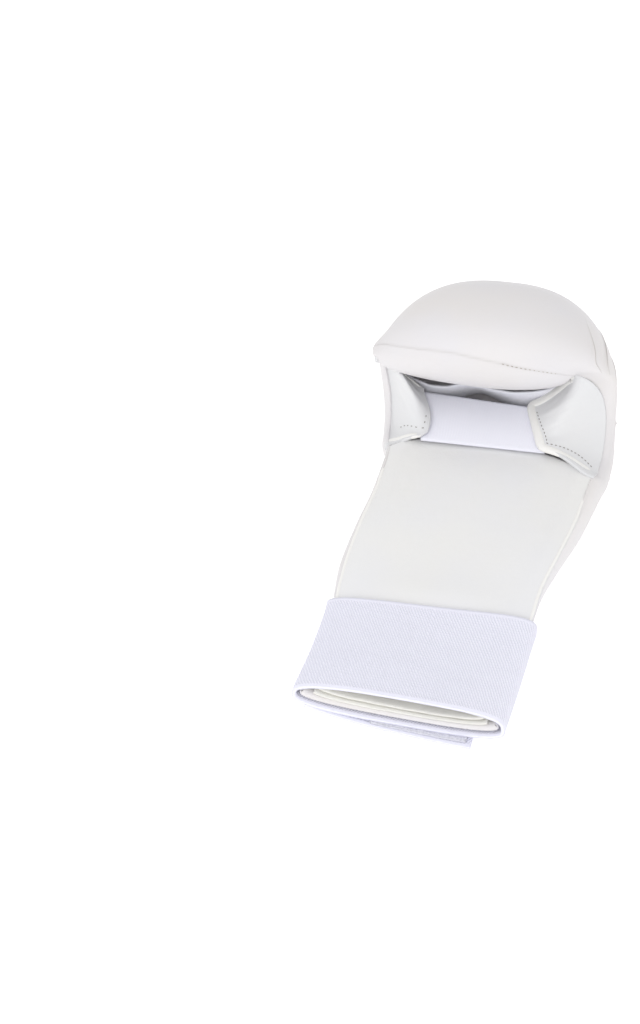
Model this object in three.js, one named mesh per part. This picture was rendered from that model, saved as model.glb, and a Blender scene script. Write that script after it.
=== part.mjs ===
// A karate glove for the right hand, lying on the back of the hand with the palm up.
// Millimetres. +X to the thumb side, +Y to the knuckles, +Z up, and z = 0 is the table.
// The origin is on the flat patch that the back of the hand rests on.
import * as THREE from 'three';

// driving dimensions
const sheet = 1.6;               // imitation leather
const webbing = 1.8;             // woven elastic
const gap = 0.3;                 // between sewn pieces
const lap = { overlap: 3, clear: 0.7 };   // of the strap's ends under the tabs
const palmTop = 47;              // y where the palm panel ends, under the strap
const archFoot = 36;             // y where the side openings begin
const palmInset = 1.3;           // from the seam line to the palm panel's edge
const padEnd = -101.2;           // y of the pad's end, a little inside the cuff
// skew: how much further the cuff reaches on the thumb side; square: fullness of its corners
const cuff = {
  from: -104.4,
  to: -56,
  clear: 2,
  crown: 5,
  bodyCrown: 3,
  skew: 5.5,
  square: 2.8,
  thumbSquare: 3.4,
};

const degrees = Math.PI / 180;

// The padded shell is drawn section by section, from the wrist over the knuckles to the lip of the cap.
// y, z: where the seams lie
// tilt: which way the section faces, in degrees: 0 down to the table, 90 to the knuckles, 180 up
// pinkySeam, thumbSeam: half widths at the seams; pinky, thumb: at the widest point
// rise: from the seam to the widest point; depth: from the seam to the outside, at the middle
// wall: thickness at the middle; pinkySquare, thumbSquare: 2 is an ellipse, more is fuller
// start: degrees of the ellipse left out at the widest point; lean: how much the thumb side is ahead
const shellColumns = [
  'travel', 'y', 'z', 'tilt', 'pinkySeam', 'pinky', 'thumbSeam', 'thumb',
  'rise', 'depth', 'wall', 'pinkySquare', 'thumbSquare', 'start', 'lean',
];
const shellRows = [
  [-101.2, -101.2, 17.6, 0, 46.8, 49.2, 37.3, 39.3, 3, 8.6, 3.2, 2.8, 2.6, 0, 0],
  [-80.0, -80.0, 20.2, 0, 45.2, 47.2, 38.6, 40.6, 3, 12.4, 4.5, 2.8, 2.6, 0, 0],
  [-60.0, -60.0, 23.6, 0, 44.6, 46.4, 39.8, 41.6, 3, 15.8, 6.0, 2.8, 2.5, 0, 0],
  [-48.0, -48.0, 26.2, 0, 45.6, 48.2, 41.2, 42.2, 4, 21.4, 9.0, 2.7, 2.4, 0, 0],
  [-34.0, -34.0, 29.2, 0, 46.0, 49.4, 42.2, 43.0, 5, 27.7, 13.5, 2.6, 2.3, 0, 0],
  [-12.0, -12.0, 32.5, 0, 44.9, 48.4, 46.6, 47.4, 8, 33.0, 17.0, 2.5, 2.2, 0, 0],
  [12.0, 12.0, 34.0, 0, 43.2, 46.8, 50.6, 53.2, 11, 35.0, 19.0, 2.5, 2.2, 0, 0],
  [36.0, 36.0, 34.8, 0, 43.8, 46.6, 52.3, 57.6, 12, 35.6, 20.0, 2.4, 2.2, 6, 0.002],
  [42.4, 45.0, 29.4, 8, 47.0, 49.6, 52.8, 59.2, 8, 30.4, 19.5, 2.3, 2.2, 14, 0.004],
  [52.0, 55.0, 27.6, 20, 48.8, 51.4, 52.8, 59.4, 6, 30.4, 19.5, 2.2, 2.1, 20, 0.008],
  [69.6, 65.9, 31.6, 42, 50.8, 53.6, 52.3, 58.2, 5, 41.0, 21.0, 2.2, 2.1, 22, 0.012],
  [92.0, 73.4, 40.5, 70, 53.0, 56.6, 51.0, 56.8, 5, 51.0, 22.0, 2.3, 2.15, 20, 0.014],
  [116.0, 75.5, 50.0, 100, 54.9, 58.4, 48.6, 56.2, 5, 53.0, 23.0, 2.5, 2.25, 19, 0.013],
  [141.6, 74.1, 57.7, 132, 55.6, 58.8, 45.1, 54.6, 4.5, 43.5, 22.5, 2.65, 2.25, 23, 0.014],
  [168.0, 71.4, 62.9, 165, 55.6, 58.6, 41.5, 51.5, 4, 32.5, 21.0, 2.6, 2.2, 25, 0.020],
  [192.0, 70.0, 64.8, 195, 55.6, 58.0, 38.0, 46.0, 4, 26.5, 18.0, 2.4, 2.2, 28, 0.030],
  [216.0, 69.4, 65.2, 225, 55.6, 57.4, 35.8, 38.5, 4, 21.5, 13.5, 2.2, 2.2, 25, 0.036],
  [240.0, 69.1, 64.8, 255, 55.6, 56.8, 34.4, 35.6, 4, 16.5, 8.5, 2.1, 2.1, 20, 0.037],
  [260.0, 69.1, 64.3, 280, 55.6, 56.2, 33.7, 34.6, 3, 12.0, 4.5, 2.0, 2.0, 12, 0.037],
  [276.0, 69.4, 63.8, 300, 55.6, 56.0, 33.4, 34.4, 1.6, 9.5, 2.8, 2.0, 2.0, 5, 0.037],
].map((values) => Object.fromEntries(shellColumns.map((name, i) => [name, values[i]])));
const lipTravel = shellRows.at(-1).travel;

// The leather is gathered into the side openings, so pleats run out from them like rays.
// at: travel along the shell; side: 1 thumb, -1 pinky; deep: at the seam; reach: 1 is the middle of the glove
const pleats = [
  { at: 30, side: 1, deep: 1.1, reach: 0.66 },
  { at: 44, side: 1, deep: 1.5, reach: 0.72 },
  { at: 60, side: 1, deep: 1.6, reach: 0.66 },
  { at: 76, side: 1, deep: 1.6, reach: 0.58 },
  { at: 93, side: 1, deep: 1.6, reach: 0.5 },
  { at: 112, side: 1, deep: 1.6, reach: 0.46 },
  { at: 134, side: 1, deep: 1.4, reach: 0.4 },
  { at: 36, side: -1, deep: 1.1, reach: 0.5 },
  { at: 53, side: -1, deep: 1.4, reach: 0.5 },
  { at: 72, side: -1, deep: 1.5, reach: 0.48 },
  { at: 98, side: -1, deep: 1.5, reach: 0.42 },
  { at: 126, side: -1, deep: 1.4, reach: 0.38 },
];
const pleatWidth = 2.6;          // half of it, along the shell

// a smooth curve through points: monotone cubic, so that nothing overshoots
function curveThrough(xs, ys) {
  const secant = xs.slice(1).map((x, i) => (ys[i + 1] - ys[i]) / (x - xs[i]));
  const slopes = xs.map((_, i) => {
    if (i === 0) return secant[0];
    if (i === xs.length - 1) return secant[i - 1];
    const [a, b] = [secant[i - 1], secant[i]];
    return a * b <= 0 ? 0 : (2 * a * b) / (a + b);
  });
  return (x) => {
    let i = 0;
    while (i < xs.length - 2 && xs[i + 1] < x) i += 1;
    const step = xs[i + 1] - xs[i];
    const t = Math.min(1, Math.max(0, (x - xs[i]) / step));
    return ys[i] * (1 + 2 * t) * (1 - t) ** 2 + slopes[i] * step * t * (1 - t) ** 2
      + ys[i + 1] * t * t * (3 - 2 * t) + slopes[i + 1] * step * t * t * (t - 1);
  };
}
const travels = shellRows.map((row) => row.travel);
const columns = shellColumns.map((name) => [name, curveThrough(travels, shellRows.map((row) => row[name]))]);
const sectionAt = (travel) => Object.fromEntries(columns.map(([name, curve]) => [name, curve(travel)]));

// a point of a section's own plane, x across and d outwards from the seams, put in place
function place(section, x, d) {
  const ahead = section.lean * x;
  return new THREE.Vector3(
    x,
    section.y + ahead + d * Math.sin(section.tilt * degrees),
    section.z + ahead - d * Math.cos(section.tilt * degrees),
  );
}

const power = (value, exponent) => Math.sign(value) * Math.abs(value) ** exponent;
const halfWidth = (section, side) => (side > 0 ? section.thumb : section.pinky);
const seamWidth = (section, side) => (side > 0 ? section.thumbSeam : section.pinkySeam);

function pleatDepth(travel, side, share) {
  let depth = 0;
  for (const pleat of pleats) {
    const off = Math.abs(travel - pleat.at) / pleatWidth;
    if (pleat.side !== side || off >= 1 || share >= pleat.reach) continue;
    depth += pleat.deep * (1 - off) * (1 - share / pleat.reach);
  }
  return depth;
}

// outside of the shell: angle 0 is the widest point on the thumb side, 180 on the pinky side,
// and past them the rims roll in to the seams
function outside(section, angle) {
  const side = angle < 90 ? 1 : -1;
  const fromSide = side > 0 ? angle : 180 - angle;
  const [half, seam] = [halfWidth(section, side), seamWidth(section, side)];
  const pleat = pleatDepth(section.travel, side, Math.max(0, fromSide / 90));
  if (fromSide < 0) {
    const roll = (90 + fromSide) * degrees;
    const x = seam + (half - seam) * Math.sin(roll) - pleat * Math.sin(roll);
    return [side * x, section.rise * (1 - Math.cos(roll))];
  }
  const start = section.start * degrees;
  const psi = start + ((90 * degrees - start) * fromSide) / 90;
  const e = 2 / (side > 0 ? section.thumbSquare : section.pinkySquare);
  const x = ((half - pleat) * power(Math.cos(psi), e)) / power(Math.cos(start), e);
  const up = (power(Math.sin(psi), e) - power(Math.sin(start), e)) / (1 - power(Math.sin(start), e));
  return [side * x, section.rise + (section.depth - section.rise) * up - pleat * Math.sin(psi)];
}

// inside of the shell, from the thumb seam at 0 to the pinky seam at 180
function inside(section, angle) {
  const side = angle < 90 ? 1 : -1;
  const psi = (side > 0 ? angle : 180 - angle) * degrees;
  const e = 2 / 2.6;
  const deep = section.depth - section.wall;
  return [side * seamWidth(section, side) * power(Math.cos(psi), e), deep * power(Math.sin(psi), e)];
}

const span = (from, to, step) => {
  const count = Math.max(1, Math.round((to - from) / step));
  return Array.from({ length: count + 1 }, (_, i) => from + ((to - from) * i) / count);
};

function geometryOf(points, index) {
  const geometry = new THREE.BufferGeometry();
  const numbers = points.flatMap((p) => [p.x, p.y, p.z]);
  geometry.setAttribute('position', new THREE.Float32BufferAttribute(numbers, 3));
  geometry.setIndex(index);
  return geometry;
}

// a closed wall from rings that each run along the outside and back along the inside
function wallGeometry(rings, outerCount) {
  const n = rings[0].length;
  const index = [];
  for (let i = 0; i < rings.length - 1; i += 1) {
    for (let j = 0; j < n; j += 1) {
      const [a, b] = [i * n + j, i * n + ((j + 1) % n)];
      index.push(a, b, b + n, a, b + n, a + n);
    }
  }
  // the two ends are closed by a strip between the outside and the inside
  const closeEnd = (base, flip) => {
    let outer = 0;
    let inner = n - 1;
    while (outer < outerCount - 1 || inner > outerCount) {
      const outerShare = outer / (outerCount - 1);
      const innerShare = (n - 1 - inner) / (n - 1 - outerCount);
      const takeOuter = inner === outerCount || (outer < outerCount - 1 && outerShare <= innerShare);
      const next = takeOuter ? outer + 1 : inner - 1;
      const triangle = flip ? [inner, next, outer] : [inner, outer, next];
      index.push(...triangle.map((k) => base + k));
      if (takeOuter) outer = next;
      else inner = next;
    }
  };
  closeEnd(0, true);
  closeEnd((rings.length - 1) * n, false);
  return geometryOf(rings.flat(), index);
}

function shellGeometry() {
  const rim = [-90, -60, -30];
  const outerAngles = [...rim, ...span(0, 180, 7.5), ...rim.map((angle) => 180 - angle).reverse()];
  const innerAngles = span(165, 15, -15);
  const stations = new Set([...span(padEnd, -57, 12), ...span(-57, 20, 9), ...span(20, lipTravel, 6)]);
  for (const pleat of pleats) {
    stations.forEach((s) => Math.abs(s - pleat.at) < 1.4 * pleatWidth && s < lipTravel && stations.delete(s));
    [-1, 0, 1].forEach((k) => stations.add(pleat.at + k * pleatWidth));
  }
  const rings = [...stations].sort((a, b) => a - b).map((travel) => {
    const section = sectionAt(travel);
    const outer = outerAngles.map((angle) => place(section, ...outside(section, angle)));
    const inner = innerAngles.map((angle) => place(section, ...inside(section, angle)));
    // foam flattens where it rests on the table
    outer.forEach((p) => p.setZ(Math.max(p.z, 0)));
    return [...outer, ...inner];
  });
  return wallGeometry(rings, outerAngles.length);
}

// a closed thin solid about a surface, given as a function of u and v from 0 to 1
function sheetGeometry(surface, uCount, vCount, thickness, loop = false) {
  const step = 1e-3;
  const clamp = (value) => Math.min(1, Math.max(0, value));
  const faces = [[], []];
  const rows = loop ? uCount - 1 : uCount;
  for (let i = 0; i <= rows; i += 1) {
    for (let j = 0; j <= vCount; j += 1) {
      const [u, v] = [i / uCount, j / vCount];
      const [u0, u1] = loop ? [u - step, u + step] : [clamp(u - step), clamp(u + step)];
      const alongU = surface(u1, v).sub(surface(u0, v));
      const alongV = surface(u, clamp(v + step)).sub(surface(u, clamp(v - step)));
      const normal = alongU.cross(alongV).normalize().multiplyScalar(thickness / 2);
      faces[0].push(surface(u, v).add(normal));
      faces[1].push(surface(u, v).sub(normal));
    }
  }
  const n = vCount + 1;
  const count = faces[0].length;
  const index = [];
  const quad = (a, b, c, d) => index.push(a, b, c, a, c, d);
  for (let i = 0; i < uCount; i += 1) {
    const [a, b] = [i * n, ((i + 1) % (rows + 1)) * n];
    for (let j = 0; j < vCount; j += 1) {
      quad(a + j, b + j, b + j + 1, a + j + 1);
      quad(a + j + count, a + j + 1 + count, b + j + 1 + count, b + j + count);
    }
    quad(a, a + count, b + count, b);
    quad(a + vCount, b + vCount, b + vCount + count, a + vCount + count);
  }
  for (let j = 0; j < vCount && !loop; j += 1) {
    const b = uCount * n + j;
    quad(j, j + 1, j + 1 + count, j + count);
    quad(b, b + count, b + 1 + count, b + 1);
  }
  return geometryOf(faces.flat(), index);
}

const { lerp: mix, smoothstep } = THREE.MathUtils;
const ease = (t, from = 0, to = 1) => smoothstep(t, from, to);

// the palm panel lies between the seams, and bulges out in the cuff
const crownAt = (y) => mix(cuff.crown, cuff.bodyCrown, ease(y, cuff.from, cuff.to));
function palmSurface(u, v) {
  const across = mix(-1, 1, u);
  const top = mix(palmTop + across, archFoot + 0.8, Math.abs(across) ** 5);
  const y = mix(padEnd, top, v);
  const section = sectionAt(Math.min(y, archFoot));
  const x = across * (seamWidth(section, across) - palmInset);
  const crown = mix(crownAt(y), 0.4, ease(y, cuff.to, -10));
  return new THREE.Vector3(x, y, section.z - sheet / 2 + crown * (1 - across * across));
}

// The tabs close the side openings of the curl and carry the palm strap.
// low, high: the corners where a tab ends on the strap; spread, drop: how the sheet leaves the pad,
// at its low end and at its high end; arrive: how far out it comes level with the strap
const tabs = {
  thumb: {
    side: 1,
    low: [25.5, 46, 39.4],
    high: [15.8, 70.5, 44.2],
    spread: [9, 2],
    drop: [2.5, 12],
    arrive: 13,
  },
  pinky: {
    side: -1,
    low: [-27.5, 41.8, 39.4],
    high: [-36, 70, 44.2],
    spread: [5, 3],
    drop: [2.5, 9],
    arrive: 10,
  },
};
const tabTravel = { from: 36.6, to: 190 };
function tabSurface(tab) {
  const [low, high] = [new THREE.Vector3(...tab.low), new THREE.Vector3(...tab.high)];
  return (u, v) => {
    const section = sectionAt(mix(tabTravel.from, tabTravel.to, u));
    const x = tab.side * (seamWidth(section, tab.side) - gap);
    const root = place(section, x, -gap - sheet / 2);
    const inward = place(section, x, -10).sub(place(section, x, 0)).normalize();
    const end = low.clone().lerp(high, u);
    const first = root.clone().addScaledVector(inward, mix(...tab.drop, ease(u)));
    first.x -= tab.side * mix(...tab.spread, ease(u));
    const second = end.clone().add(new THREE.Vector3(tab.side * tab.arrive, 0, 0));
    return new THREE.CubicBezierCurve3(root, first, second, end).getPoint(v);
  };
}

// the palm strap runs straight from tab to tab, with its ends under them
function strapSurface(u, v) {
  const [left, right] = [tabs.pinky, tabs.thumb].map((tab) => {
    const edge = new THREE.Vector3(...tab.low).lerp(new THREE.Vector3(...tab.high), v);
    edge.x += tab.side * lap.overlap;
    edge.z -= (sheet + webbing) / 2 + lap.clear;
    return edge;
  });
  return left.lerp(right, u);
}

// The finger elastic hangs slack across the mouth of the cap, from corner to corner.
// top: its upper edge, as rows of x, y, z; it leans back, most where it is twisted
const fingerBand = {
  top: [
    [-51.5, 73.6, 51.3], [-44.2, 73.0, 48.2], [-38.4, 72.8, 46.1], [-32.2, 72.8, 44.6], [-26, 72.8, 45.2],
    [-19.8, 72.8, 47.6], [-14.6, 72.8, 48.8], [-9.3, 72.8, 48.7], [-2.4, 72.8, 47.9], [5.5, 72.8, 47.9],
    [14, 73, 49.4], [21.6, 73.6, 51.5], [27.4, 74.8, 54.0], [30.6, 76.4, 56.2], [34, 79, 58.9],
  ],
  width: 15,
  lean: 0.15,
  twist: { at: -8, size: 15, lean: 0.45 },
};
const [topX, topY, topZ] = [0, 1, 2].map((i) => fingerBand.top.map((point) => point[i]));
const topCurves = [curveThrough(topX, topY), curveThrough(topX, topZ)];
function fingerSurface(u, v) {
  const { width, twist } = fingerBand;
  const x = mix(topX[0], topX.at(-1), u);
  const lean = fingerBand.lean + twist.lean * Math.exp(-(((x - twist.at) / twist.size) ** 2));
  const down = v * width;
  return new THREE.Vector3(
    x,
    topCurves[0](x) + down * lean,
    topCurves[1](x) - down * Math.sqrt(1 - lean * lean),
  );
}

// The cuff is one closed loop of wide elastic round the pad's end and the palm panel.
// Its free end laps over the back from the pinky side, and layers lie on each other at a growing distance.
const layer = {
  band: cuff.clear,
  hook: cuff.clear + 1.7,
  tag: cuff.clear + 1.85,
  tail: cuff.clear + 3.4,
  label: cuff.clear + 5.2,
};
const thin = { hook: 0.7, label: 0.8, tag: 0.6 };
function cuffPoint(angle, square, clear) {
  const turn = angle * degrees;
  const side = Math.cos(turn) > 0 ? 1 : -1;
  const palm = Math.sin(turn) > 0;
  const e = 2 / (palm && side > 0 ? cuff.thumbSquare : cuff.square);
  const across = side * Math.abs(Math.cos(turn)) ** e;
  const share = (square - cuff.from) / (cuff.to - cuff.from);
  const y = square + cuff.skew * share * ((1 + across) / 2) ** 2;
  const section = sectionAt(Math.max(y, padEnd));
  const high = palm ? section.rise + crownAt(y) + clear : section.depth - section.rise + clear;
  const x = across * (halfWidth(section, side) + clear);
  return new THREE.Vector3(x, y, section.z - section.rise + high * power(Math.sin(turn), e));
}
// a patch of cloth round the cuff: clear is its distance from the pad, near: that at its last angle,
// ahead: how far its first end sticks out of the cuff's mouth
const cuffPatch = (patch) => (u, v) => cuffPoint(
  mix(patch.angles[0], patch.angles[1], u),
  mix(patch.ends[0], patch.ends[1], v) - (patch.ahead ?? 0) * (1 - u),
  mix(patch.clear, patch.near ?? patch.clear, ease(u, 0.5, 1)),
);
// angles run from 0 at the thumb side over the palm at 90 and the pinky side at 180 to the back at 270
const band = { angles: [360, 0], ends: [cuff.from, cuff.to], clear: layer.band };
const tail = {
  angles: [301, 214],
  ends: [cuff.from + 0.4, cuff.to - 1],
  clear: layer.tail,
  near: layer.band + 2.5,
  ahead: 4,
};
const hook = { angles: [296, 262], ends: [cuff.from + 3, cuff.to - 9], clear: layer.hook };
const label = { angles: [294, 258], ends: [cuff.from + 6, cuff.to - 6], clear: layer.label };
const tag = { angles: [324, 299], ends: [-92, -72], clear: layer.tag };

const glove = new THREE.Group();
const leather = new THREE.MeshStandardMaterial({ color: 0xe9e7e5, roughness: 0.5 });
const elastic = new THREE.MeshStandardMaterial({ color: 0xe6e6f2, roughness: 0.9 });
const hookTape = new THREE.MeshStandardMaterial({ color: 0xdcdce2, roughness: 0.8 });
const patch = new THREE.MeshStandardMaterial({ color: 0xeeecea, roughness: 0.4 });
const satin = new THREE.MeshStandardMaterial({ color: 0xf2f1ee, roughness: 0.6 });

function add(name, geometry, material) {
  const mesh = new THREE.Mesh(geometry, material);
  mesh.name = name;
  glove.add(mesh);
}

add('padded_shell', shellGeometry(), leather);
add('palm_panel', sheetGeometry(palmSurface, 10, 16, sheet), leather);
add('thumb_tab', sheetGeometry(tabSurface(tabs.thumb), 20, 8, sheet), leather);
add('pinky_tab', sheetGeometry(tabSurface(tabs.pinky), 20, 8, sheet), leather);
add('palm_strap', sheetGeometry(strapSurface, 8, 3, webbing), elastic);
add('finger_elastic', sheetGeometry(fingerSurface, 24, 3, webbing), elastic);
add('wrist_band', sheetGeometry(cuffPatch(band), 48, 5, webbing, true), elastic);
add('band_tail', sheetGeometry(cuffPatch(tail), 20, 5, webbing), elastic);
add('hook_strip', sheetGeometry(cuffPatch(hook), 6, 5, thin.hook), hookTape);
add('label_patch', sheetGeometry(cuffPatch(label), 8, 5, thin.label), patch);
add('size_tag', sheetGeometry(cuffPatch(tag), 3, 2, thin.tag), satin);

export default glove;
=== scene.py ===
# A white karate glove for the right hand, lying on its back with the palm up.
# Shapes are worked out in millimetres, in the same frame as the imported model, and placed in metres.
import bisect
import math
import random

import bmesh
import bpy
from mathutils import Matrix, Vector, noise


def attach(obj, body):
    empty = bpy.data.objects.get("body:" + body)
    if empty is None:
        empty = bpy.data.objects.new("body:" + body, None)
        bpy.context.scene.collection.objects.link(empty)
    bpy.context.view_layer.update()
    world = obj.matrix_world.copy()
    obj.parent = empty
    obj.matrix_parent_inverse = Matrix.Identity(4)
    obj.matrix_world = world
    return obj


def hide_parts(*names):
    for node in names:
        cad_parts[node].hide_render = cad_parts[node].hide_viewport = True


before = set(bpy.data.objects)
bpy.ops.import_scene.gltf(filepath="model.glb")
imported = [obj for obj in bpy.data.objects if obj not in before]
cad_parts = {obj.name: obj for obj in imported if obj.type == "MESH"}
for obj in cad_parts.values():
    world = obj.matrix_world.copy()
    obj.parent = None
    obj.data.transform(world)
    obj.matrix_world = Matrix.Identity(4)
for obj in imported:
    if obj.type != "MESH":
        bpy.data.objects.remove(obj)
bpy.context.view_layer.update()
mm = 0.001
random.seed(11)


def mix(a, b, t):
    return a + (b - a) * t


def ease(t, start=0.0, end=1.0):
    t = min(1.0, max(0.0, (t - start) / (end - start)))
    return t * t * (3 - 2 * t)


def power(value, exponent):
    return math.copysign(abs(value) ** exponent, value)


def bell(off, width):
    return math.exp(-((off / width) ** 2))


# Sections of the padded shell, from the wrist over the knuckles to the lip of the cap
shellColumns = (
    "travel y z tilt pinkySeam pinky thumbSeam thumb rise depth wall"
    " pinkySquare thumbSquare start lean"
).split()
shellRows = [
    (-101.2, -101.2, 17.6, 0, 46.8, 49.2, 37.3, 39.3, 3, 8.6, 3.2, 2.8, 2.6, 0, 0),
    (-80.0, -80.0, 20.2, 0, 45.2, 47.2, 38.6, 40.6, 3, 12.4, 4.5, 2.8, 2.6, 0, 0),
    (-60.0, -60.0, 23.6, 0, 44.6, 46.4, 39.8, 41.6, 3, 15.8, 6.0, 2.8, 2.5, 0, 0),
    (-48.0, -48.0, 26.2, 0, 45.6, 48.2, 41.2, 42.2, 4, 21.4, 9.0, 2.7, 2.4, 0, 0),
    (-34.0, -34.0, 29.2, 0, 46.0, 49.4, 42.2, 43.0, 5, 27.7, 13.5, 2.6, 2.3, 0, 0),
    (-12.0, -12.0, 32.5, 0, 44.9, 48.4, 46.6, 47.4, 8, 33.0, 17.0, 2.5, 2.2, 0, 0),
    (12.0, 12.0, 34.0, 0, 43.2, 46.8, 50.6, 53.2, 11, 35.0, 19.0, 2.5, 2.2, 0, 0),
    (36.0, 36.0, 34.8, 0, 43.8, 46.6, 52.3, 57.6, 12, 35.6, 20.0, 2.4, 2.2, 6, 0.002),
    (42.4, 45.0, 29.4, 8, 47.0, 49.6, 52.8, 59.2, 8, 30.4, 19.5, 2.3, 2.2, 14, 0.004),
    (52.0, 55.0, 27.6, 20, 48.8, 51.4, 52.8, 59.4, 6, 30.4, 19.5, 2.2, 2.1, 20, 0.008),
    (69.6, 65.9, 31.6, 42, 50.8, 53.6, 52.3, 58.2, 5, 41.0, 21.0, 2.2, 2.1, 22, 0.012),
    (92.0, 73.4, 40.5, 70, 53.0, 56.6, 51.0, 56.8, 5, 51.0, 22.0, 2.3, 2.15, 20, 0.014),
    (116.0, 75.5, 50.0, 100, 54.9, 58.4, 48.6, 56.2, 5, 53.0, 23.0, 2.5, 2.25, 19, 0.013),
    (141.6, 74.1, 57.7, 132, 55.6, 58.8, 45.1, 54.6, 4.5, 43.5, 22.5, 2.65, 2.25, 23, 0.014),
    (168.0, 71.4, 62.9, 165, 55.6, 58.6, 41.5, 51.5, 4, 32.5, 21.0, 2.6, 2.2, 25, 0.020),
    (192.0, 70.0, 64.8, 195, 55.6, 58.0, 38.0, 46.0, 4, 26.5, 18.0, 2.4, 2.2, 28, 0.030),
    (216.0, 69.4, 65.2, 225, 55.6, 57.4, 35.8, 38.5, 4, 21.5, 13.5, 2.2, 2.2, 25, 0.036),
    (240.0, 69.1, 64.8, 255, 55.6, 56.8, 34.4, 35.6, 4, 16.5, 8.5, 2.1, 2.1, 20, 0.037),
    (260.0, 69.1, 64.3, 280, 55.6, 56.2, 33.7, 34.6, 3, 12.0, 4.5, 2.0, 2.0, 12, 0.037),
    (276.0, 69.4, 63.8, 300, 55.6, 56.0, 33.4, 34.4, 1.6, 9.5, 2.8, 2.0, 2.0, 5, 0.037),
]


# a smooth curve through points: monotone cubic, so that nothing overshoots
def curveThrough(xs, ys):
    secant = [(ys[i + 1] - ys[i]) / (xs[i + 1] - xs[i]) for i in range(len(xs) - 1)]
    inner = [0 if a * b <= 0 else 2 * a * b / (a + b) for a, b in zip(secant, secant[1:])]
    slopes = [secant[0], *inner, secant[-1]]

    def at(x):
        i = max(0, min(len(xs) - 2, sum(known < x for known in xs) - 1))
        step = xs[i + 1] - xs[i]
        t = min(1.0, max(0.0, (x - xs[i]) / step))
        return (
            ys[i] * (1 + 2 * t) * (1 - t) ** 2 + slopes[i] * step * t * (1 - t) ** 2
            + ys[i + 1] * t * t * (3 - 2 * t) + slopes[i + 1] * step * t * t * (t - 1)
        )

    return at


travels = [row[0] for row in shellRows]
columns = {
    name: curveThrough(travels, [row[i] for row in shellRows])
    for i, name in enumerate(shellColumns)
}
sectionCache = {}


def sectionAt(travel):
    key = round(travel, 3)
    if key not in sectionCache:
        sectionCache[key] = {name: curve(travel) for name, curve in columns.items()}
    return sectionCache[key]


# a point of a section's plane, x across and d outwards from the seams
def place(section, x, d):
    tilt = math.radians(section["tilt"])
    ahead = section["lean"] * x
    return Vector((
        x,
        section["y"] + ahead + d * math.sin(tilt),
        section["z"] + ahead - d * math.cos(tilt),
    ))


def seamWidth(section, side):
    return section["thumbSeam" if side > 0 else "pinkySeam"]


def halfWidth(section, side):
    return section["thumb" if side > 0 else "pinky"]


# angle runs from the thumb seam at -90 over the back at 90 to the pinky seam at 270
def outside(section, angle):
    side = 1 if angle < 90 else -1
    fromSide = angle if side > 0 else 180 - angle
    half, seam, rise = halfWidth(section, side), seamWidth(section, side), section["rise"]
    if fromSide < 0:
        roll = math.radians(90 + fromSide)
        return side * (seam + (half - seam) * math.sin(roll)), rise * (1 - math.cos(roll))
    start = math.radians(section["start"])
    psi = start + (math.pi / 2 - start) * fromSide / 90
    e = 2 / section["thumbSquare" if side > 0 else "pinkySquare"]
    low = power(math.sin(start), e)
    x = half * power(math.cos(psi), e) / power(math.cos(start), e)
    up = (power(math.sin(psi), e) - low) / (1 - low)
    return side * x, rise + (section["depth"] - rise) * up


# from the thumb seam at 0 to the pinky seam at 180
def inside(section, angle):
    side = 1 if angle < 90 else -1
    psi = math.radians(angle if side > 0 else 180 - angle)
    e = 2 / 2.6
    deep = section["depth"] - section["wall"]
    return side * seamWidth(section, side) * power(math.cos(psi), e), deep * power(math.sin(psi), e)


# Making and finishing pieces

def finishPiece(name, mesh, finish, nodes=(), modifiers=()):
    piece = bpy.data.objects.new(name, mesh)
    bpy.context.collection.objects.link(piece)
    mesh.materials.append(finish)
    mesh.polygons.foreach_set("use_smooth", [True] * len(mesh.polygons))
    for kind, settings in modifiers:
        modifier = piece.modifiers.new(kind.title(), kind)
        for key, value in settings.items():
            setattr(modifier, key, value)
    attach(piece, "root")
    if nodes:
        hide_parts(*nodes)
    return piece


def thickness(size):
    return ("SOLIDIFY", {"thickness": size * mm, "offset": 0.0})


# a grid whose points are moved onto a surface, given as a function of u and v from 0 to 1
def surfaceMesh(name, surface, uCount, vCount, loop=False, layer="weave"):
    bm = bmesh.new()
    bm.loops.layers.uv.new(layer)
    bmesh.ops.create_grid(bm, x_segments=uCount, y_segments=vCount, size=1, calc_uvs=True)
    for vert in bm.verts:
        vert.co = surface((vert.co.x + 1) / 2, (vert.co.y + 1) / 2) * mm
    if loop:
        bmesh.ops.remove_doubles(bm, verts=bm.verts, dist=1e-6)
    bmesh.ops.recalc_face_normals(bm, faces=bm.faces)
    mesh = bpy.data.meshes.new(name)
    bm.to_mesh(mesh)
    bm.free()
    return mesh


def evenly(points, spacing):
    out, left = [points[0]], spacing
    for a, b in zip(points, points[1:]):
        step = (b - a).length
        while step > 0 and left <= step:
            a = a.lerp(b, left / step)
            step = (b - a).length
            out.append(a)
            left = spacing
        left -= step
    return out


def softened(points, rounds):
    for _ in range(rounds):
        points = [
            points[0],
            *[(a + b * 2 + c) / 4 for a, b, c in zip(points, points[1:], points[2:])],
            points[-1],
        ]
    return points


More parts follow.
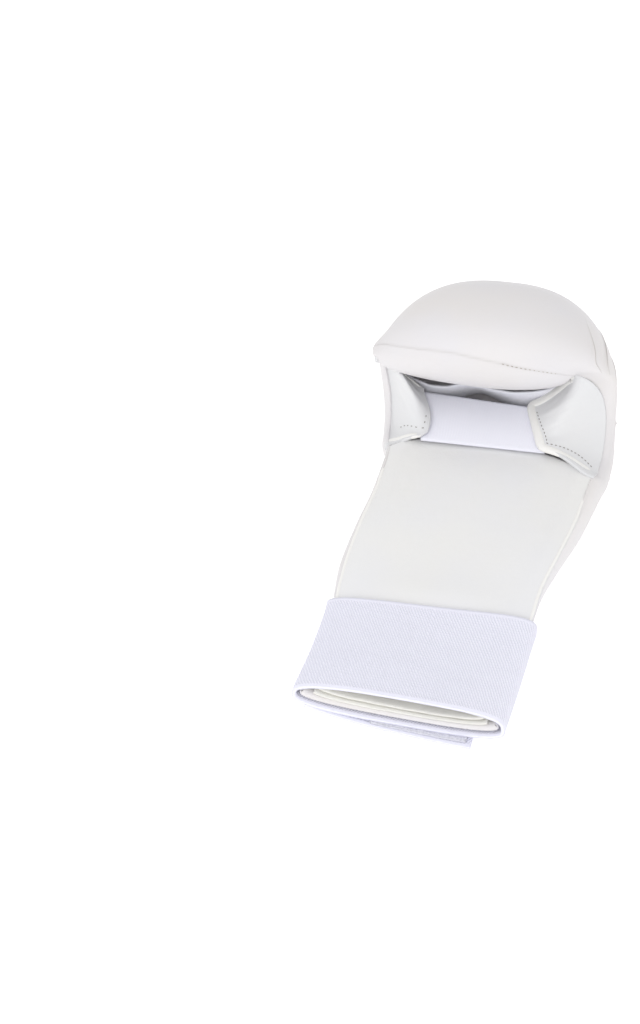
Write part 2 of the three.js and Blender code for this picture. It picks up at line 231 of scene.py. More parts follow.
# a hem: leather folded round an edge, wide across the sheet and thin through it
def hemMesh(name, points, ups, wide, thick):
    bm = bmesh.new()
    around = 12
    bmesh.ops.create_grid(bm, x_segments=len(points) - 1, y_segments=around, size=1)
    for vert in bm.verts:
        i = round((vert.co.x + 1) / 2 * (len(points) - 1))
        turn = (vert.co.y + 1) * math.pi
        before, after = points[max(0, i - 1)], points[min(len(points) - 1, i + 1)]
        along = (after - before).normalized()
        across = ups[i].cross(along).normalized()
        up = along.cross(across)
        ends = mix(0.4, 1, ease(min(i, len(points) - 1 - i), 0, 3))
        spot = across * math.cos(turn) * wide / 2 + up * math.sin(turn) * thick / 2
        vert.co = (points[i] + spot * ends) * mm
    bmesh.ops.remove_doubles(bm, verts=bm.verts, dist=1e-6)
    bmesh.ops.holes_fill(bm, edges=[e for e in bm.edges if e.is_boundary], sides=0)
    bmesh.ops.recalc_face_normals(bm, faces=bm.faces)
    mesh = bpy.data.meshes.new(name)
    bm.to_mesh(mesh)
    bm.free()
    return mesh


def normalAt(surface, u, v):
    e = 0.01
    du = surface(min(1, u + e), v) - surface(max(0, u - e), v)
    dv = surface(u, min(1, v + e)) - surface(u, max(0, v - e))
    up = du.cross(dv).normalized()
    return -up if up.z < 0 else up


# short threads along a line, each lying on the surface under it
def stitchMesh(name, spots, length, width):
    bm = bmesh.new()
    for here, along, up in spots:
        along = (along + up * random.uniform(-0.06, 0.06)).normalized()
        across = up.cross(along).normalized()
        turn = Matrix((along, across, along.cross(across))).transposed().to_4x4()
        size = Matrix.Diagonal((length / 2, width / 2, width / 2.6, 1))
        bmesh.ops.create_icosphere(
            bm, subdivisions=1, radius=mm,
            matrix=Matrix.Translation(here * mm) @ turn @ size,
        )
    mesh = bpy.data.meshes.new(name)
    bm.to_mesh(mesh)
    bm.free()
    return mesh


# places for stitches along a line of (u, v) on a surface, with the direction and the normal at each
def stitchSpots(surface, line, pitch, lift):
    path = [surface(u, v) for u, v in line]
    points = evenly(path, pitch)
    spots = []
    for here in points[1:-1]:
        k = min(range(len(path) - 1), key=lambda i: (path[i] - here).length)
        u, v = line[k]
        k = min(max(k, 1), len(path) - 2)
        along = (path[k + 1] - path[k - 1]).normalized()
        up = normalAt(surface, u, v)
        spots.append((here + up * lift, along, up))
    return spots


# Finishes

class Wire:  # a shader socket that takes Python's operators
    def __init__(self, tree, socket):
        self.tree, self.socket = tree, socket

    def math(self, operation, *values):
        node = self.tree.nodes.new("ShaderNodeMath")
        node.operation = operation
        for slotIn, value in zip(node.inputs, values):
            if isinstance(value, Wire):
                self.tree.links.new(value.socket, slotIn)
            else:
                slotIn.default_value = value
        return Wire(self.tree, node.outputs[0])

    def __add__(self, other):
        return self.math("ADD", self, other)

    __radd__ = __add__

    def __sub__(self, other):
        return self.math("SUBTRACT", self, other)

    def __rsub__(self, other):
        return self.math("SUBTRACT", other, self)

    def __mul__(self, other):
        return self.math("MULTIPLY", self, other)


class Finish:  # a material with a Principled shader and one way to add nodes
    def __init__(self, name, **fixed):
        self.material = bpy.data.materials.new(name)
        self.material.use_nodes = True
        self.tree = self.material.node_tree
        self.shader = self.tree.nodes["Principled BSDF"]
        for key, value in fixed.items():
            self.shader.inputs[key.replace("_", " ")].default_value = value

    def node(self, kind, settings, sockets, output=0):
        node = self.tree.nodes.new(kind)
        for key, value in settings.items():
            if key == "stops":
                ramp = node.color_ramp
                while len(ramp.elements) < len(value):
                    ramp.elements.new(0.5)
                for element, (position, colour) in zip(ramp.elements, value):
                    element.position = position
                    element.color = colour
            else:
                setattr(node, key, value)
        for key, value in sockets.items():
            if isinstance(value, Wire):
                self.tree.links.new(value.socket, node.inputs[key])
            else:
                node.inputs[key].default_value = value
        return Wire(self.tree, node.outputs[output])

    def coordinates(self):
        return self.node("ShaderNodeTexCoord", {}, {}, "Object")

    def noise(self, vector, scale, detail=2.0, roughness=0.5):
        return self.node("ShaderNodeTexNoise", {}, {
            "Vector": vector, "Scale": scale, "Detail": detail, "Roughness": roughness,
        })

    def blend(self, factor, first, second):
        return self.node(
            "ShaderNodeMix", {"data_type": "RGBA"}, {0: factor, 6: first, 7: second}, 2,
        )

    def bump(self, height, strength, distance, under=None):
        sockets = {"Height": height, "Strength": strength, "Distance": distance}
        if under is not None:
            sockets["Normal"] = under
        return self.node("ShaderNodeBump", {}, sockets)

    def feed(self, **wires):
        for key, wire in wires.items():
            self.tree.links.new(wire.socket, self.shader.inputs[key.replace("_", " ")])


leather = {
    "colour": (0.755, 0.73, 0.725, 1),
    "cool": (0.745, 0.73, 0.75, 1),
    # painted shade: the colour laid into the pleats' creases and along the cap seam
    "fold": (0.50, 0.475, 0.455, 1),
    "mottle": 22,          # per metre
    "grain": 1100,
    "pore": 2300,
}


def leatherFinish(name, colour, cool, paintedCreaseShade=False):
    finish = Finish(name, Roughness=0.46)
    where = finish.coordinates()
    cloud = finish.noise(where, leather["mottle"], 3.0)
    base = finish.blend(finish.node("ShaderNodeMapRange", {}, {
        "Value": cloud, "From Min": 0.35, "From Max": 0.65,
    }), colour, cool)
    # painted shade from the mesh's values, darkening the creases and the seam's groove
    if paintedCreaseShade:
        crease = finish.node("ShaderNodeAttribute", {"attribute_name": "fold"}, {}, "Fac")
        base = finish.blend(crease, base, leather["fold"])
    grain = finish.node("ShaderNodeTexVoronoi", {"feature": "SMOOTH_F1"}, {
        "Vector": where, "Scale": leather["grain"], "Smoothness": 0.6,
    }, "Distance")
    pores = finish.noise(where, leather["pore"], 1.0)
    crumple = finish.noise(where, 140, 3.0, 0.55)
    first = finish.bump(crumple, 0.18, 0.0010)
    second = finish.bump(grain + pores * 0.4, 0.16, 0.00018, first)
    finish.feed(
        Base_Color=base,
        Roughness=0.42 + finish.noise(where, 60, 2.0) * 0.12,
        Normal=second,
    )
    return finish.material


webbing = {
    "colour": (0.90, 0.90, 1, 1),
    # painted shade: the colour of the weave down in its grooves
    "grooveShade": (0.75, 0.75, 0.87, 1),
    "wander": 380,         # per metre: how finely the lines of stitches waver
}


# pitch: between lines of stitches, in millimetres; slant: how far they lean; strength: how deep, and how
# dark the painted shade in the grooves is
twill = {"pitch": 1.33, "slant": 0.64, "strength": 0.9}
plainWeave = {"pitch": 0.85, "slant": 0.0, "strength": 0.2}


# ribs are lines of stitches on the piece's own map; length and width are its real size in millimetres
def webbingFinish(name, length, width, pitch, slant, strength, colour=webbing["colour"]):
    finish = Finish(name, Roughness=0.82, Sheen_Weight=0.15)
    weave = finish.node("ShaderNodeUVMap", {"uv_map": "weave"}, {})
    split = finish.node("ShaderNodeSeparateXYZ", {}, {"Vector": weave})
    along = split * length
    across = Wire(finish.tree, split.socket.node.outputs["Y"]) * width
    turn = 2 * math.pi / pitch
    waver = finish.noise(finish.coordinates(), webbing["wander"], 1.0)
    ribs = along.math("SINE", along * turn + across * (turn * slant) + waver * 2.4)
    knots = along.math("SINE", along * (turn * 0.5) - across * (turn * 1.6))
    height = ribs * 0.38 + knots * 0.12 + 0.5
    wander = finish.noise(weave, 9.0, 2.0)
    edge = across.math("MINIMUM", across, width - across)
    selvedge = finish.node("ShaderNodeMapRange", {}, {
        "Value": edge, "From Min": 1.1, "From Max": 1.7,
    })
    height = height * selvedge + (1 - selvedge) * 0.5
    # painted shade: the colour darkens towards the groove colour where the weave lies low
    shade = 1 - (1 - height - (wander - 0.5) * 0.25) * min(1, strength * 1.4)
    base = finish.blend(shade, webbing["grooveShade"], colour)
    finish.feed(
        Base_Color=base,
        Normal=finish.bump(height, strength, 0.00035),
        Roughness=0.88 - height * 0.12,
    )
    return finish.material


def threadFinish(name, colour):
    finish = Finish(name, Roughness=0.7)
    where = finish.coordinates()
    fibre = finish.noise(where, 900, 2.0)
    dark = tuple(c * 0.7 for c in colour[:3]) + (1,)
    finish.feed(
        Base_Color=finish.blend(fibre, dark, colour),
        Normal=finish.bump(fibre, 0.4, 0.0001),
    )
    return finish.material


# loops and hooks stand up as a rough pile
def pileFinish(name, colour, dark):
    finish = Finish(name, Roughness=0.9, Sheen_Weight=0.3)
    where = finish.coordinates()
    dots = finish.node("ShaderNodeTexVoronoi", {"feature": "F1"}, {
        "Vector": where, "Scale": 900.0,
    }, "Distance")
    tuft = finish.noise(where, 420, 3.0, 0.7)
    height = dots * 0.6 + tuft * 0.6
    finish.feed(
        Base_Color=finish.blend(height, dark, colour),
        Normal=finish.bump(height, 0.9, 0.0008),
    )
    return finish.material


# the shell's leather takes painted shade in its pleats' creases and along its seam
shellLeather = leatherFinish("shellLeather", leather["colour"], leather["cool"], paintedCreaseShade=True)
palmLeather = leatherFinish("palmLeather", (0.815, 0.81, 0.80, 1), (0.80, 0.80, 0.815, 1))
tabLeather = leatherFinish("tabLeather", (0.735, 0.74, 0.755, 1), (0.75, 0.75, 0.76, 1))
hemLeather = leatherFinish("hemLeather", (0.88, 0.87, 0.845, 1), (0.87, 0.86, 0.84, 1))
liningCloth = leatherFinish("liningCloth", (0.82, 0.81, 0.76, 1), (0.78, 0.77, 0.73, 1))
patchLeather = leatherFinish("patchLeather", (0.86, 0.855, 0.85, 1), (0.84, 0.84, 0.85, 1))
stitchThread = threadFinish("stitchThread", (0.33, 0.31, 0.29, 1))
paleThread = threadFinish("paleThread", (0.50, 0.46, 0.40, 1))
hookPile = pileFinish("hookPile", (0.80, 0.80, 0.87, 1), (0.52, 0.52, 0.62, 1))
satinTape = webbingFinish("satinTape", 12.5, 20, pitch=0.45, slant=0.0, strength=0.2)
print("finishes made")


# The padded shell: one closed skin round the foam, gathered into pleats at the side openings
shellMake = {
    "rimColumns": 9,       # round each rolled edge
    "thumbColumns": 46,    # over the pleats, from the thumb seam
    "restColumns": 50,
    "innerColumns": 36,
    "endRoll": 2.2,        # how far the rolled ends stand out
    "swell": 0.4,          # soft unevenness of the foam
    "pleated": (18, 200),  # travels between which the rows lean along the pleats
    "rowStep": 3.0,        # between rows at the wrist end
    "lipStep": 1.5,        # between rows of the lip, and over the pleats
    "ridge": (0.26, 2.6, 2.4),   # beside a pleat: height as a share, distance and width
    "crease": 0.42,        # half width of a pleat's line
    "fill": 0.7,           # how much fuller the end is that lies in the cuff
    "covered": 1.5,        # how much lower the rim lies under the little finger's tab
}
# line: share of the way over the back, and travel there; rise: shares over which a pleat deepens.
# Every line ends on the travel of one row of the skin, and that row follows it.
pleats = [
    {"side": 1, "deep": 0.6, "rise": (0, 0.25), "line": [(-0.9, 33), (0.1, 32), (0.66, 25)]},
    {"side": 1, "deep": 0.9, "rise": (-0.1, 0.2), "line": [(-0.9, 45), (0.1, 46), (0.78, 50)]},
    {"side": 1, "deep": 1.0, "rise": (-0.1, 0.2), "line": [(-0.9, 61), (0.1, 64), (0.76, 74)]},
    {"side": 1, "deep": 1.0, "rise": (-0.2, 0.15), "line": [(-0.9, 78), (0.1, 84), (0.68, 90)]},
    {
        "side": 1, "deep": 0.55, "rise": (-0.1, 0.14),
        "line": [(-0.9, 101), (-0.35, 121), (-0.1, 127), (0.12, 122), (0.5, 104)],
    }, {
        "side": 1, "deep": 0.6, "rise": (-0.1, 0.14),
        "line": [(-0.9, 132), (-0.55, 145), (-0.3, 159), (0.03, 158), (0.24, 138), (0.5, 116)],
    }, {
        "side": 1, "deep": 0.55, "rise": (-0.1, 0.14),
        "line": [(-0.9, 146), (-0.5, 170), (0.08, 179), (0.25, 163), (0.38, 152), (0.52, 140)],
    },
    {"side": -1, "deep": 0.7, "rise": (0.05, 0.3), "line": [(0, 25), (0.6, 25)]},
    {"side": -1, "deep": 0.9, "rise": (0.05, 0.3), "line": [(0, 50), (0.62, 50)]},
    {"side": -1, "deep": 0.9, "rise": (0.05, 0.3), "line": [(0, 74), (0.6, 74)]},
    {"side": -1, "deep": 0.8, "rise": (0.05, 0.3), "line": [(0, 104), (0.5, 104)]},
]
for pleat in pleats:
    pleat["path"] = curveThrough(*zip(*pleat["line"]))
    pleat["row"] = pleat["line"][-1][1]
thumbPleats = [pleat for pleat in pleats if pleat["side"] > 0]


def shellStations():
    step, lipStep = shellMake["rowStep"], shellMake["lipStep"]
    rows = {travels[0] + step * i for i in range(40)} | {travels[-1] - lipStep * i for i in range(57)}
    for pleat in thumbPleats:
        rows |= {pleat["row"] + step * way for step in (0, 0.3, 0.7, 1.3, 2.2, 3.4) for way in (1, -1)}
    rows = sorted(rows)
    filled = []
    for here, after in zip(rows, rows[1:]):
        count = math.ceil((after - here) / lipStep) if here > shellMake["pleated"][0] else 1
        filled += [mix(here, after, i / count) for i in range(count)]
    return filled + [rows[-1]]


# the rows of the skin lean over, so that one lies along each pleat
def rowTravel(station, side, share):
    first, last = shellMake["pleated"]
    if side < 0 or not first < station < last:
        return station
    known = [first, *[pleat["row"] for pleat in thumbPleats], last]
    moved = [first, *[pleat["path"](share) for pleat in thumbPleats], last]
    i = sum(row < station for row in known[1:-1])
    return mix(moved[i], moved[i + 1], (station - known[i]) / (known[i + 1] - known[i]))


# the seam across the cap: angle round the section, and travel there
capSeam = curveThrough(
    [-90, 15, 28, 48, 66, 90, 112, 130, 152, 169, 180, 270],
    [224, 221.5, 220.5, 219.2, 218, 214.5, 210, 208.5, 204, 194, 188, 184],
)


# how far the leather is raised, and how dark the painted shade in the pleat's crease is; reach is the
# length of a unit of travel
def pleatRelief(travel, side, share, reach):
    relief = fold = 0.0
    crease = shellMake["crease"]
    height, apart, width = shellMake["ridge"]
    for pleat in pleats:
        end = pleat["line"][-1][0]
        if pleat["side"] != side or share > end:
            continue
        off = (travel - pleat["path"](share)) * reach
        if abs(off) > 8:
            continue
        fade = ease(share, *pleat["rise"]) * (1 - ease(share, 0.4 * end, end))
        relief -= pleat["deep"] * fade * math.exp(-abs(off) / crease)
        relief += height * pleat["deep"] * fade * bell(off - apart, width)
        # painted shade along the line of the crease
        fold = max(fold, fade * bell(off, crease))
    return relief, fold


def paddedShell():
    rim, thumb, rest = shellMake["rimColumns"], shellMake["thumbColumns"], shellMake["restColumns"]
    outer = [-90 + 90 * i / rim for i in range(rim)]
    outer += [75 * i / thumb for i in range(thumb)]
    outer += [75 + 105 * i / rest for i in range(rest)]
    outer += [180 + 90 * i / rim for i in range(rim + 1)]
    inner = [180 * i / shellMake["innerColumns"] for i in range(shellMake["innerColumns"] + 1)]
    around = [(angle, True) for angle in outer] + [(angle, False) for angle in reversed(inner)]
    rolls = [1.0, 0.92, 0.71, 0.38]
    rows = [(travels[0], -r) for r in rolls] + [(t, 0.0) for t in shellStations()]
    rows += [(travels[-1], r) for r in reversed(rolls)]

    bm = bmesh.new()
    # per vertex, how much painted shade the leather takes
    creaseShadeLayer = bm.verts.layers.float.new("fold")
    bmesh.ops.create_grid(bm, x_segments=len(rows) - 1, y_segments=len(around), size=1)
    lifts = {}
    for vert in bm.verts:
        i = round((vert.co.x + 1) / 2 * (len(rows) - 1))
        j = round((vert.co.y + 1) / 2 * len(around)) % len(around)
        travel, roll = rows[i]
        angle, isOuter = around[j]
        side = 1 if angle < 90 else -1
        share = (angle if side > 0 else 180 - angle) / 90
        travel = rowTravel(travel, side, share)
        section = sectionAt(travel)
        x, d = outside(section, angle) if isOuter else inside(section, angle)
        point = place(section, x, d)
        if roll:
            flat = min(180, max(0, angle))
            across = inside(section, flat) if isOuter else outside(section, flat)
            middle = (point + place(section, *across)) / 2
            tilt = math.radians(section["tilt"])
            point = middle + (point - middle) * math.sqrt(1 - roll * roll)
            point += Vector((0, math.cos(tilt), math.sin(tilt))) * roll * shellMake["endRoll"]
        elif isOuter:
            reach = mix(1, 0.4 + d / 48, ease(travel, 20, 60))
            relief, fold = pleatRelief(travel, side, share, reach)
            seam = bell(travel - capSeam(angle), 1.1) * ease(share, -0.6, 0.1)
            swell = noise.noise(point / 34) * shellMake["swell"] * ease(share, 0, 0.5)
            if side < 0:
                under = ease(travel, 39, 46) * (1 - ease(travel, 212, 236))
                relief -= shellMake["covered"] * under * (1 - ease(share, -0.02, 0.15))
            relief += shellMake["fill"] * ease(-travel, 90, 99)
            lifts[vert] = relief - 0.4 * seam + swell * ease(travels[-1] - travel, 0, 30)
            # painted shade: darkest in the pleats' creases, and weaker along the cap seam's groove
            vert[creaseShadeLayer] = max(fold, 0.3 * seam)
        vert.co = point * mm
    bmesh.ops.recalc_face_normals(bm, faces=bm.faces)
    bm.normal_update()
    for vert, lift in lifts.items():
        vert.co += vert.normal * lift * mm
    for vert in bm.verts:
        vert.co.z = max(vert.co.z, 0)
    bmesh.ops.remove_doubles(bm, verts=bm.verts, dist=2e-6)
    bmesh.ops.recalc_face_normals(bm, faces=bm.faces)
    mesh = bpy.data.meshes.new("paddedShell")
    bm.to_mesh(mesh)
    bm.free()
    piece = finishPiece("paddedShell", mesh, shellLeather, ["padded_shell"])
    return piece


paddedShell()


def skinPoint(travel, angle):
    section = sectionAt(travel)
    x, d = outside(section, angle)
    point = place(section, x, d)
    return place(section, x, d + noise.noise(point / 34) * shellMake["swell"])


# the cap's seam is stitched on the thumb side
seamLine = [(i / 80, 0.5) for i in range(81)]
seamSpots = stitchSpots(
    lambda u, v: skinPoint(capSeam(mix(84, 22, u)) + (v - 0.5) * 6, mix(84, 22, u)),
    seamLine, 2.1, 0.4,
)
finishPiece("capStitches", stitchMesh("capStitches", seamSpots, 1.3, 0.4), paleThread)
print("padded shell made")

# The palm panel, with its edges turned in at the seams
cuffEnds = (-104.4, -56)     # y of the cuff's two edges
palmMake = {"from": travels[0], "top": 50, "corner": 36.6, "sheet": 1.6, "tuck": 1.1, "crown": (5, 3)}


def crownAt(y):
    return mix(*palmMake["crown"], ease(y, *cuffEnds))


def palmSurface(u, v):
    across = mix(-1, 1, u)
    top = mix(palmMake["top"], palmMake["corner"], abs(across) ** 3)
    y = mix(palmMake["from"], top, v)
    section = sectionAt(min(y, 36))
    x = across * (seamWidth(section, across) + palmMake["tuck"])
    crown = mix(crownAt(y), 0.4, ease(y, -56, -10))
    z = section["z"] - palmMake["sheet"] / 2 + crown * (1 - across * across)
    z -= 0.5 * ease(abs(across), 0.95, 1.0)
    free = ease(y, -54, -40)
    z += free * 0.9 * noise.noise(Vector((x / 40, y / 55, 3.1)))
    z += 0.9 * bell(y + 46, 8) * (1 - across * across)
    z += free * 0.5 * bell(abs(across) - 0.86, 0.07)
    return Vector((x, y, z))


palmPanel = finishPiece(
    "palmPanel", surfaceMesh("palmPanel", palmSurface, 90, 120), palmLeather,
    ["palm_panel"], [thickness(palmMake["sheet"])],
)
# a piping stands along both side seams of the panel
for side in (1, -1):
    along = [(0.5 + side * 0.488, mix(0.3, 0.9, i / 90)) for i in range(91)]
    ups = [normalAt(palmSurface, u, v) for u, v in along]
    points = [palmSurface(u, v) + up * 0.7 for (u, v), up in zip(along, ups)]
    label = "thumbPiping" if side > 0 else "pinkyPiping"
    finishPiece(label, hemMesh(label, points, ups, 1.5, 1.2), hemLeather)
print("palm panel made")

# The tabs close the side openings of the curl and carry the palm strap
tabMake = {"sheet": 1.6, "bury": 1.2, "startRoll": 50, "fullRoll": 98}
# low, high: the ends of the edge at the strap; span: the travel that the tab is sewn along
# spread, drop: how the sheet leaves the rim, at its low and its high end; arrive: how it meets the strap
# rim: share of the tab that lies round the shell's rolled rim, and how far above it
# bulge: of the edge at the strap; round: of the low end; front, puff: how far the top and the middle
# stand forward; seed: of its wrinkles
tabs = {
    "thumb": {
        "side": 1, "low": (25.5, 46, 39.4), "high": (15.8, 70.5, 44.2), "span": (36.6, 216),
        "spread": (9, 2), "drop": (2.5, 12), "arrive": (13, 7), "seed": 4.0, "rim": (0, 0),
        "bulge": 0, "round": 0, "front": 0, "puff": 2.5,
    },
    "pinky": {
        "side": -1, "low": (-27.5, 41.8, 39.4), "high": (-36, 70, 44.2), "span": (39, 262),
        "spread": (7, 5), "drop": (2.5, -2), "arrive": (10, 3), "seed": 9.0, "rim": (0.26, -0.3),
        "bulge": 2.4, "round": 0.1, "front": 1.2, "puff": 5,
    },
}


def bezier(a, b, c, d, t):
    return a * (1 - t) ** 3 + b * 3 * t * (1 - t) ** 2 + c * 3 * t * t * (1 - t) + d * t ** 3


def tabSurface(tab):
    low, high, side = Vector(tab["low"]), Vector(tab["high"]), tab["side"]
    part, above = tab["rim"]

    def at(u, v):
        section = sectionAt(mix(*tab["span"], u))
        seam, rise = seamWidth(section, side), section["rise"]
        v *= 1 - tab["round"] * max(0, 1 - u / 0.16) ** 2
        front = Vector((0, -0.7, 0.7)) * tab["front"] * ease(u, 0.7, 1) * (1 - v)
        if v < part:
            outer = mix(tabMake["startRoll"], tabMake["fullRoll"], ease(u, 0, 0.3))
            roll = math.radians(mix(outer, 0, v / part))
            x = seam + (halfWidth(section, side) - seam + above) * math.sin(roll)
            return place(section, side * x, rise - (rise + above) * math.cos(roll)) + front
        v = (v - part) / (1 - part)
        root = place(section, side * (seam + (0 if part else tabMake["bury"])), -above)
        inward = (place(section, 0, -10) - place(section, 0, 0)).normalized()
        end = low.lerp(high, u)
        end.x -= side * tab["bulge"] * math.sin(math.pi * min(1, u * 1.15))
        first = root + inward * mix(*tab["drop"], ease(u))
        first.x -= side * mix(*tab["spread"], ease(u))
        second = end + Vector((side * mix(*tab["arrive"], ease(u)), 0, 0))
        point = bezier(root, first, second, end, v)
        full = math.sin(math.pi * u) * math.sin(math.pi * v)
        point += Vector((0, -0.7, 0.7)) * tab["puff"] * full
        loose = ease(v, 0.05, 0.4) * ease(1 - v, 0.02, 0.3)
        wrinkle = noise.noise(Vector((u * 5, v * 1.3, tab["seed"]))) * 0.9
        wrinkle += noise.noise(Vector((u * 13 + v * 2, v * 2, tab["seed"] + 5))) * 0.3
        return point + inward * wrinkle * loose + front

    return at


def edgePath(surface, corners, step=40):
    path = []
    for (u0, v0), (u1, v1) in zip(corners, corners[1:]):
        path += [(mix(u0, u1, i / step), mix(v0, v1, i / step)) for i in range(step)]
    return path + [corners[-1]]


def addTab(name, tab, hemLines, stitchLines):
    surface = tabSurface(tab)
    piece = finishPiece(
        name + "Tab", surfaceMesh(name + "Tab", surface, 90, 48), tabLeather,
        [name + "_tab"], [thickness(tabMake["sheet"])],
    )
    for number, (wide, thick, corners) in enumerate(hemLines):
        line = edgePath(surface, corners)
        path = [surface(u, v) for u, v in line]
        points = softened(evenly(path, 1.2), 4)
        nearest = [min(range(len(path)), key=lambda i: (path[i] - point).length) for point in points]
        ups = softened([normalAt(surface, *line[i]) for i in nearest], 6)
        label = f"{name}Hem{number + 1}"
        hem = hemMesh(label, points, ups, wide, thick)
        finishPiece(label, hem, hemLeather)
    spots = []
    for pitch, corners in stitchLines:
        line = edgePath(surface, corners)
        spots += stitchSpots(surface, line, pitch, tabMake["sheet"] / 2 + 0.12)
    stitches = stitchMesh(name + "Stitches", spots, 1.25, 0.5)
    finishPiece(name + "Stitches", stitches, stitchThread)
    return piece


thumbTab = addTab(
    "thumb", tabs["thumb"],
    [
        (4.6, 2.7, [(0.99, 0.02), (0.99, 0.96), (0.03, 0.96), (0.03, 0.04)]),
    ],
    [(2.0, [(0.84, 0.87), (0.12, 0.87), (0.04, 0.08)])],
)
pinkyTab = addTab(
    "pinky", tabs["pinky"],
    [
        (2.6, 2.4, [(0.985, 0.24), (0.985, 1.0)]),
        (3.6, 2.6, [(0.02, 1.0), (0.02, 0.02)]),
    ],
    [(3.3, [(0.5, 0.93), (0.15, 0.93), (0.05, 0.36)])],
)
print("tabs made")

# The palm strap and the finger elastic
strapMake = {"sheet": 1.8, "shown": 1.0, "overlap": 3, "clear": 0.7}


def strapSurface(u, v):
    ends = []
    for tab in (tabs["pinky"], tabs["thumb"]):
        edge = Vector(tab["low"]).lerp(Vector(tab["high"]), v)
        edge.x += tab["side"] * strapMake["overlap"]
        edge.z -= (tabMake["sheet"] + strapMake["sheet"]) / 2 + strapMake["clear"]
        ends.append(edge)
    return ends[0].lerp(ends[1], u)


palmStrap = finishPiece(
    "palmStrap", surfaceMesh("palmStrap", strapSurface, 50, 24),
    webbingFinish("strapWebbing", 66, 26, colour=(0.92, 0.92, 1, 1), **plainWeave),
    ["palm_strap"],
    [thickness(strapMake["shown"])],
)

# top: the upper edge, as rows of x, y, z; the elastic leans back, most where it is twisted
fingerMake = {
    "top": [
        (-51.5, 73.6, 51.3), (-44.2, 73, 48.2), (-38.4, 72.8, 46.1), (-32.2, 72.8, 44.6),
        (-26, 72.8, 45.2), (-19.8, 72.8, 47.6), (-14.6, 72.8, 48.8), (-9.3, 72.8, 48.7),
        (-2.4, 72.8, 47.9), (5.5, 72.8, 47.9), (14, 73, 49.4), (21.6, 73.6, 51.5),
        (27.4, 74.8, 54), (30.6, 76.4, 56.2), (34, 79, 58.9),
    ],
    "width": 15, "lean": 0.15,
    "twist": {"at": -8, "size": 15, "lean": 0.45},
}
topX, topY, topZ = zip(*fingerMake["top"])
topCurves = curveThrough(topX, topY), curveThrough(topX, topZ)


def fingerSurface(u, v):
    x = mix(topX[0], topX[-1], u)
    twist = fingerMake["twist"]
    lean = fingerMake["lean"] + twist["lean"] * bell(x - twist["at"], twist["size"])
    down = v * fingerMake["width"]
    y, z = topCurves[0](x), topCurves[1](x)
    return Vector((x, y + down * lean, z - down * math.sqrt(1 - lean * lean)))


fingerElastic = finishPiece(
    "fingerElastic", surfaceMesh("fingerElastic", fingerSurface, 110, 14),
    # whiter than the other webbing: painted light, lifting the elastic out of the shade under the lip
    webbingFinish("fingerWebbing", 106, 15, colour=(0.94, 0.94, 1, 1), **plainWeave),
    ["finger_elastic"],
    [thickness(strapMake["shown"])],
)
print("elastics made")

# The cuff: a closed loop of wide elastic, with its free end lapped over the back
cuffMake = {
    "from": cuffEnds[0], "to": cuffEnds[1], "sheet": 1.8, "clear": 2,
    "skew": 5.5, "square": 2.8, "thumbSquare": 3.4, "tailAhead": 4, "hookAhead": 1.5,
    "hook": 1.7, "tag": 1.85, "tail": 3.4, "tailStart": 2.5, "label": 5.2,
}


# the cuff's edge over the glove is askew: it lies further up on the thumb side
def cuffPoint(angle, square, clear):
    turn = math.radians(angle)
    side = 1 if math.cos(turn) > 0 else -1
    fuller = ease(math.cos(turn), 0, 0.5) if math.sin(turn) > 0 else 0
    e = 2 / mix(cuffMake["square"], cuffMake["thumbSquare"], fuller)
    across = side * abs(math.cos(turn)) ** e
    share = (square - cuffMake["from"]) / (cuffMake["to"] - cuffMake["from"])
    y = square + cuffMake["skew"] * share * ((1 + across) / 2) ** 2
    section = sectionAt(max(y, palmMake["from"]))
    rise = section["rise"]
    if math.sin(turn) > 0:
        high = rise + crownAt(y) + clear
    else:
        high = section["depth"] - rise + clear
    x = across * (halfWidth(section, side) + clear)
    return Vector((x, y, section["z"] - rise + high * power(math.sin(turn), e)))


# the angle after each share of the way round, so that the cloth's map is even
def evenTurn(angles):
    turns = [mix(*angles, i / 1200) for i in range(1201)]
    spots = [cuffPoint(turn, -80, 0) for turn in turns]
    gone = [0]
    for a, b in zip(spots, spots[1:]):
        gone.append(gone[-1] + (b - a).length)

    def at(share):
        wanted = share * gone[-1]
        i = bisect.bisect_left(gone, wanted, 1, len(gone) - 1)
        return mix(turns[i - 1], turns[i], (wanted - gone[i - 1]) / (gone[i] - gone[i - 1]))

    return at


# ahead: how far the first end sticks out of the cuff's mouth
def cuffPatch(angles, ends, clear, near=None, ahead=0):
    first = cuffMake["clear"] + clear
    last = first if near is None else cuffMake["clear"] + near
    turnAt = evenTurn(angles)
    return lambda u, v: cuffPoint(
        turnAt(u), mix(*ends, v) - ahead * (1 - u), mix(first, last, ease(u, 0.5, 1)),
    )


start, stop = cuffMake["from"], cuffMake["to"]
bandSurface = cuffPatch((360, 0), (start, stop), 0)
wristBand = finishPiece(
    "wristBand", surfaceMesh("wristBand", bandSurface, 240, 40, loop=True),
    webbingFinish("bandWebbing", 204, 49.5, **twill), ["wrist_band"],
    [thickness(cuffMake["sheet"])],
)
tailSurface = cuffPatch(
    (301, 214), (start + 0.4, stop - 1), cuffMake["tail"],
    near=cuffMake["tailStart"], ahead=cuffMake["tailAhead"],
)
bandTail = finishPiece(
    "bandTail", surfaceMesh("bandTail", tailSurface, 130, 40),
    webbingFinish("tailWebbing", 64, 48, **twill), ["band_tail"],
    [thickness(cuffMake["sheet"])],
)
hookSurface = cuffPatch(
    (299, 258), (start - 0.6, stop - 9), cuffMake["hook"], ahead=cuffMake["hookAhead"],
)
hookStrip = finishPiece(
    "hookStrip", surfaceMesh("hookStrip", hookSurface, 40, 30), hookPile,
    ["hook_strip"], [thickness(1.3)],
)
labelSurface = cuffPatch((294, 258), (start + 6, stop - 6), cuffMake["label"])
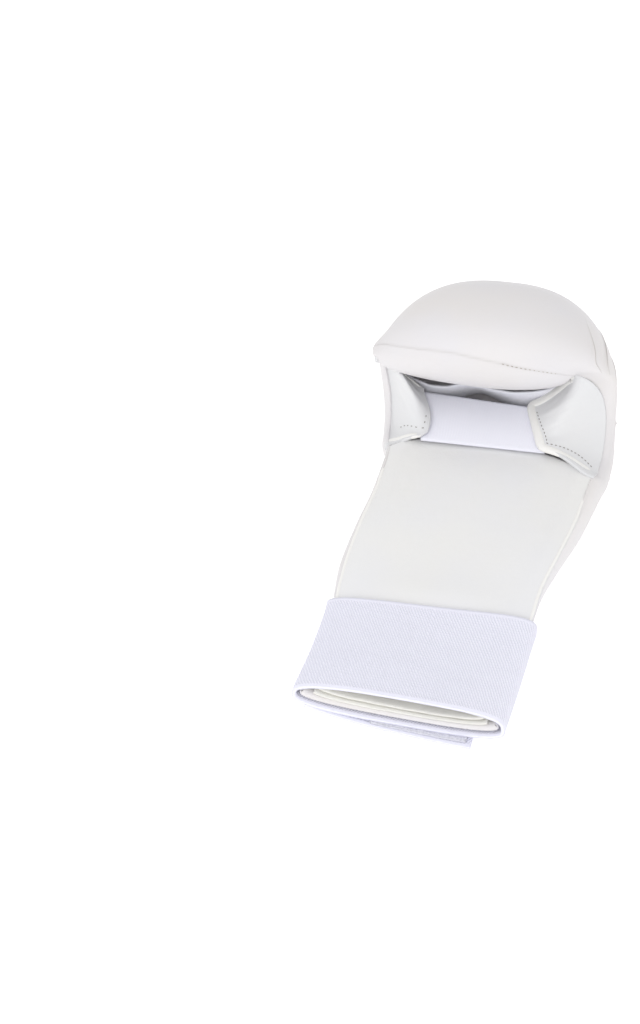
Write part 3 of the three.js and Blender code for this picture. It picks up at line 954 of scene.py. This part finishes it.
labelPatch = finishPiece(
    "labelPatch", surfaceMesh("labelPatch", labelSurface, 40, 30), patchLeather,
    ["label_patch"], [thickness(0.8)],
)
tagSurface = cuffPatch((324, 299), (-92, -72), cuffMake["tag"])
sizeTag = finishPiece(
    "sizeTag", surfaceMesh("sizeTag", tagSurface, 16, 20), satinTape,
    ["size_tag"], [thickness(0.6)],
)
print("cuff made")

# Layers of lining that show in the mouth of the cuff
layerMake = [
    {"end": -102.9, "back": -86, "lift": 0.9, "wide": 0.93, "sheet": 1.1},
    {"end": -101.9, "back": -86, "lift": 2.7, "wide": 0.88, "sheet": 1.1},
]


def liningSurface(layer, seed):
    def at(u, v):
        y = mix(layer["end"], layer["back"], v)
        section = sectionAt(max(y, palmMake["from"]))
        x, d = inside(section, mix(14, 166, u))
        ripple = noise.noise(Vector((x / 9, y / 16, seed))) * 0.35
        point = place(section, x * layer["wide"], d - layer["lift"] + ripple)
        point.y = y
        return point

    return at


for number, layer in enumerate(layerMake):
    name = f"wristLining{number + 1}"
    surface = liningSurface(layer, number * 5.0)
    finishPiece(
        name, surfaceMesh(name, surface, 90, 16), liningCloth,
        modifiers=[thickness(layer["sheet"])],
    )
print("lining made")

# Floor, light and camera
studio = {
    "target": (0, 0, 30), "azimuth": 13, "elevation": 45, "distance": 900,
    "lens": 68.98, "shift": (-0.1401, 0.0093),
    "key": (0.0, -1.4, 1.35), "keySize": 1.8, "keyWatts": 12, "sky": 0.83,   # metres, watts
}


def buildStudio():
    mesh = bpy.data.meshes.new("floor")
    bm = bmesh.new()
    bmesh.ops.create_grid(bm, x_segments=1, y_segments=1, size=6)
    bmesh.ops.translate(bm, verts=bm.verts, vec=(0, 0, -0.0004))
    bm.to_mesh(mesh)
    bm.free()
    floor = bpy.data.objects.new("floor", mesh)
    bpy.context.collection.objects.link(floor)
    paper = Finish(
        "paper", Base_Color=(0.9, 0.9, 0.9, 1), Roughness=0.9,
        Emission_Color=(1, 1, 1, 1), Emission_Strength=0.35,
    )
    mesh.materials.append(paper.material)

    target = Vector(studio["target"]) * mm
    light = bpy.data.lights.new("key", "AREA")
    light.shape = "DISK"
    light.size = studio["keySize"]
    light.energy = studio["keyWatts"]
    lamp = bpy.data.objects.new("key", light)
    bpy.context.collection.objects.link(lamp)
    lamp.location = studio["key"]
    lamp.rotation_euler = (target - lamp.location).to_track_quat("-Z", "Y").to_euler()

    world = bpy.data.worlds.new("studio")
    bpy.context.scene.world = world
    world.use_nodes = True
    world.node_tree.nodes["Background"].inputs["Color"].default_value = (1, 1, 1, 1)
    world.node_tree.nodes["Background"].inputs["Strength"].default_value = studio["sky"]

    camera = bpy.data.objects.new("camera", bpy.data.cameras.new("camera"))
    bpy.context.collection.objects.link(camera)
    a, e = math.radians(studio["azimuth"]), math.radians(studio["elevation"])
    away = Vector((math.sin(a) * math.cos(e), -math.cos(a) * math.cos(e), math.sin(e)))
    camera.location = target + away * studio["distance"] * mm
    camera.rotation_euler = (-away).to_track_quat("-Z", "Y").to_euler()
    camera.data.lens = studio["lens"]
    camera.data.shift_x, camera.data.shift_y = studio["shift"]
    bpy.context.scene.camera = camera
    bpy.context.scene.view_settings.view_transform = "Standard"


buildStudio()
print("studio made")
